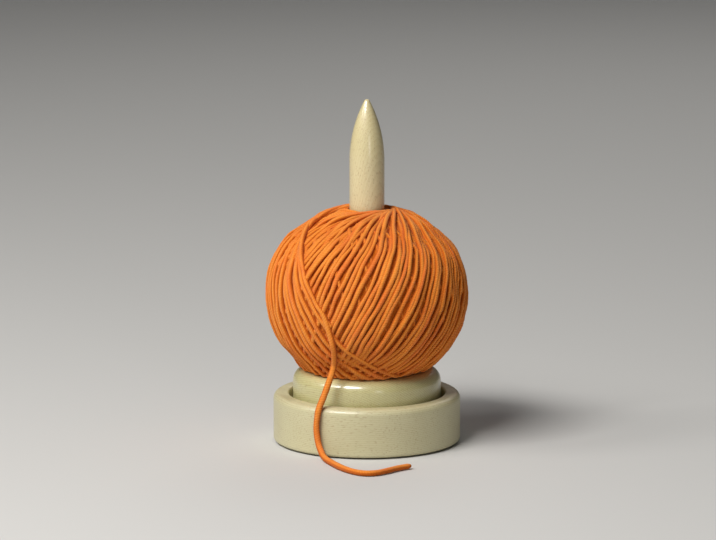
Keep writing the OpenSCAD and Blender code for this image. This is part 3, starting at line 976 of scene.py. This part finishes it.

# %% [markdown]
# ### Wool
#
# Soft wool has no gloss of its own, only a faint sheen at grazing angles. Its colour changes
# from fibre to fibre and from ply to ply. Shade is painted into the colour as well: it darkens
# in the valleys between plies, on the side of each strand that faces into the ball and on
# strands that lie deep, where little light gets in, and pale fibres show only on the lit crests,
# partly as a painted highlight. The strand's own attributes place all of that.

# %% Wool group


def wool_group():
    tree, given, out = new_group(
        "Twisted wool",
        {
            "Strand Place": (VECTOR, None),
            "Depth Shade": (NUMBER, 0.0),
            # Lit is the wool's colour where no painted shade falls on it
            "Lit": (COLOUR, (0.83, 0.258, 0.032, 1)),
            "Warm": (COLOUR, (0.80, 0.175, 0.030, 1)),
            # painted shade: the colour painted into the valleys and on deep strands
            "Painted Shade": (COLOUR, (0.56, 0.120, 0.006, 1)),
            "Pale Fibre Highlight": (COLOUR, (0.90, 0.38, 0.10, 1)),
            "Plies": (NUMBER, float(plies)),
            "Twist Length": (NUMBER, ply_twist),
        },
        {"Colour": COLOUR, "Height": NUMBER},
    )
    round_x, round_y, along = split(tree, given["Strand Place"])
    angle = maths(tree, "ARCTAN2", round_y, round_x)
    turned = maths(tree, "DIVIDE", along, given["Twist Length"])
    spiral = maths(tree, "SUBTRACT", angle, maths(tree, "MULTIPLY", turned, 2 * math.pi))
    ply = maths(tree, "COSINE", maths(tree, "MULTIPLY", spiral, given["Plies"]))
    ply_top = steps(tree, ply, -1.0, 0.5)
    fibre_place = vector_of(
        tree,
        scaled(tree, maths(tree, "COSINE", spiral), 3.2),
        scaled(tree, maths(tree, "SINE", spiral), 3.2),
        scaled(tree, along, 260.0),
    )
    fibre = noise(tree, fibre_place, 2.6, 3.0, 0.65)
    tuft = noise(tree, fibre_place, 0.75, 2.0, 0.6)
    slow = noise(tree, vector_of(tree, scaled(tree, along, 45.0)), 1.0, 3.0, 0.6)
    dye = noise(tree, vector_of(tree, 0.0, scaled(tree, along, 28.0)), 1.0, 2.0)
    lit = blend_colours(tree, steps(tree, dye, 0.42, 0.70), given["Lit"], given["Warm"])
    # painted shade: the side of each strand that faces into the ball gets darker
    light = steps(tree, round_x, 0.18, 1.0)
    # more painted shade in the valleys between plies and on deep strands, times the fibres' own tone
    for value, gain, least in (
        (ply_top, 0.34, 0.66),
        (fibre, 1.3, 0.35),
        (tuft, 0.9, 0.55),
        (slow, 0.8, 0.60),
        (given["Depth Shade"], -0.8, 1.0),
    ):
        light = maths(tree, "MULTIPLY", light, scaled(tree, value, gain, least))
    # mixes the lit colour towards the painted shade colour where the light worked out above is low
    body = blend_colours(tree, steps(tree, light, 0.05, 0.85), given["Painted Shade"], lit)
    # pale fibres only where the strand is lit: partly the wool's own pale fibres, partly a painted
    # highlight
    pale_fibre_highlight = steps(tree, maths(tree, "MULTIPLY", fibre, light), 0.42, 0.62)
    join(tree, blend_colours(tree, scaled(tree, pale_fibre_highlight, 0.55), body, given["Pale Fibre Highlight"]), out["Colour"])
    join(tree, scaled(tree, ply_top, 0.7, scaled(tree, fibre, 0.9)), out["Height"])
    return tree


twisted_wool = wool_group()

# %% Wool finish


def wool(name):
    material, tree, shader = plain_material(name)
    group = node(tree, "ShaderNodeGroup", node_tree=twisted_wool)
    for label, stored, output in (
        ("Strand Place", "strand_place", "Vector"),
        ("Depth Shade", "depth_and_shade", "Fac"),
    ):
        attribute = node(tree, "ShaderNodeAttribute", attribute_name=stored)
        join(tree, attribute.outputs[output], group.inputs[label])
    join(tree, group.outputs["Colour"], shader.inputs["Base Color"])
    bump(tree, group.outputs["Height"], 0.55, 0.0004, shader)
    set_inputs(shader, Roughness=0.92, Sheen_Weight=0.08, Sheen_Roughness=0.5, Specular_IOR_Level=0.15)
    return material


orange_wool = wool("orange_wool")
for piece in wound_pieces + [heart, coil, yarn_end]:
    piece.data.materials.append(orange_wool)

# %% [markdown]
# ### Metal, nylon and felt
#
# The bearing, bolt, washer and insert are out of sight unless the object is taken apart or seen
# from below. They still get their real finishes: turned steel with fine rings round its axis, a
# cloudy zinc coat, brass, a moulded nylon cage, and dark grey felt pads.

# %% Turned metal group


def turned_group():
    tree, given, out = new_group(
        "Turned metal",
        {
            "Place": (VECTOR, None),
            "Light": (COLOUR, (0.6, 0.6, 0.62, 1)),
            "Dark": (COLOUR, (0.4, 0.4, 0.42, 1)),
            "Roughness": (NUMBER, 0.3),
        },
        FINISH,
    )
    tool_marks = 9000.0  # per metre
    x, y, z = split(tree, given["Place"])
    radius = from_axis(tree, x, y)
    ring_place = vector_of(tree, scaled(tree, radius, tool_marks), scaled(tree, z, tool_marks))
    rings = noise(tree, ring_place, 1.0, 2.0)
    cloud = noise(tree, given["Place"], 420.0, 3.0)
    shade = steps(tree, scaled(tree, rings, 0.5, scaled(tree, cloud, 0.5)), 0.3, 0.7)
    join(tree, blend_colours(tree, shade, given["Dark"], given["Light"]), out["Colour"])
    join(tree, scaled(tree, cloud, 0.18, given["Roughness"]), out["Roughness"])
    join(tree, rings, out["Height"])
    return tree


turned_metal = turned_group()


def metal(name, light, dark, roughness):
    values = {"Light": light, "Dark": dark, "Roughness": roughness}
    material, shader = grouped(name, turned_metal, (0.15, 0.00005), **values)
    set_inputs(shader, Metallic=1.0)
    return material


bearing_balls = [f"bearing_ball_{i}" for i in range(1, 8)]
bearing_steel = metal("bearing_steel", (0.66, 0.67, 0.69, 1), (0.48, 0.49, 0.51, 1), 0.14)
shield_steel = metal("shield_steel", (0.55, 0.56, 0.58, 1), (0.42, 0.43, 0.45, 1), 0.28)
zinc_steel = metal("zinc_steel", (0.62, 0.64, 0.66, 1), (0.44, 0.46, 0.50, 1), 0.30)
insert_brass = metal("insert_brass", (0.78, 0.58, 0.26, 1), (0.60, 0.41, 0.15, 1), 0.26)
repaint(bearing_steel, "bearing_outer_ring", "bearing_inner_ring", *bearing_balls)
repaint(shield_steel, "bearing_upper_shield", "bearing_lower_shield")
repaint(zinc_steel, "axle_bolt", "bolt_washer", "spacer_ring")
repaint(insert_brass, "threaded_insert")

# %% Speckle group, nylon and felt


def speckle_group():
    """Colour, gloss and relief that follow one noise, for matt finishes."""
    tree, given, out = new_group(
        "Speckle",
        {
            "Place": (VECTOR, None),
            "Scale": (NUMBER, 900.0),
            "Light": (COLOUR, (0.7, 0.7, 0.7, 1)),
            "Dark": (COLOUR, (0.3, 0.3, 0.3, 1)),
            "Roughness": (NUMBER, 0.5),
        },
        FINISH,
    )
    grain = noise(tree, given["Place"], given["Scale"], 4.0, 0.7)
    shade = steps(tree, grain, 0.3, 0.7)
    join(tree, blend_colours(tree, shade, given["Dark"], given["Light"]), out["Colour"])
    join(tree, scaled(tree, grain, 0.15, given["Roughness"]), out["Roughness"])
    join(tree, grain, out["Height"])
    return tree


speckle = speckle_group()
nylon, _ = grouped(
    "cage_nylon", speckle, (0.15, 0.0003), Scale=900.0, Roughness=0.42,
    Light=(0.74, 0.68, 0.52, 1), Dark=(0.66, 0.59, 0.43, 1),
)
felt, _ = grouped(
    "grey_felt", speckle, (0.8, 0.0003), Scale=1600.0, Roughness=0.85,
    Light=(0.20, 0.18, 0.16, 1), Dark=(0.07, 0.06, 0.05, 1),
)
repaint(nylon, "bearing_cage")

# %% [markdown]
# ### Felt pads
#
# The pads under the base are stamped from felt, so their edges are soft and a little uneven.
# Each is a low cushion of rings with a rounded foot, in the box of the pad that it replaces.

# %% Build the felt pads
soft_edge = 0.0007
fuzz_height = 0.00006
pad_middle_r = 0.0004  # the innermost ring, which a small face closes
pad_columns = 72


def felt_pad(index):
    low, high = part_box(f"felt_pad_{index}")
    middle = (low + high) / 2
    half, height = (high.x - low.x) / 2, high.z - low.z
    rng = np.random.default_rng(40 + index)
    flat_r = half - soft_edge
    flat = [(r, 0.0) for r in np.linspace(pad_middle_r, flat_r, 9)[:-1]]
    corner = np.linspace(0, math.pi / 2, 5)
    edge = [(flat_r + soft_edge * math.sin(c), soft_edge - soft_edge * math.cos(c)) for c in corner]
    outline = flat + edge + [(half, height), (pad_middle_r, height)]
    spin = np.arange(pad_columns) * 2 * math.pi / pad_columns
    points = []
    for r, z in outline:
        fuzzy = 0.001 < r < half * 0.99 and z < soft_edge
        fuzz = rng.uniform(-1, 1, pad_columns) * (fuzz_height if fuzzy else 0.0)
        for a, f in zip(spin, fuzz):
            x, y = middle.x + r * math.cos(a), middle.y + r * math.sin(a)
            points.append((x, y, low.z + max(0.0, z + f)))
    faces = []
    for i in range(len(outline) - 1):
        a, b = i * pad_columns, (i + 1) * pad_columns
        for j in range(pad_columns):
            k = (j + 1) % pad_columns
            faces.append((b + j, b + k, a + k, a + j))
    faces += [tuple(range(pad_columns)), tuple(range(len(points) - pad_columns, len(points)))[::-1]]
    mesh = bpy.data.meshes.new(f"felt_foot_{index}")
    mesh.from_pydata(points, [], faces)
    mesh.polygons.foreach_set("use_smooth", np.ones(len(faces), bool))
    mesh.materials.append(felt)
    pad = new_object(f"felt_foot_{index}", mesh)
    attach(pad, "base_unit")
    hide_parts(f"felt_pad_{index}")


for i in range(1, 5):
    felt_pad(i)
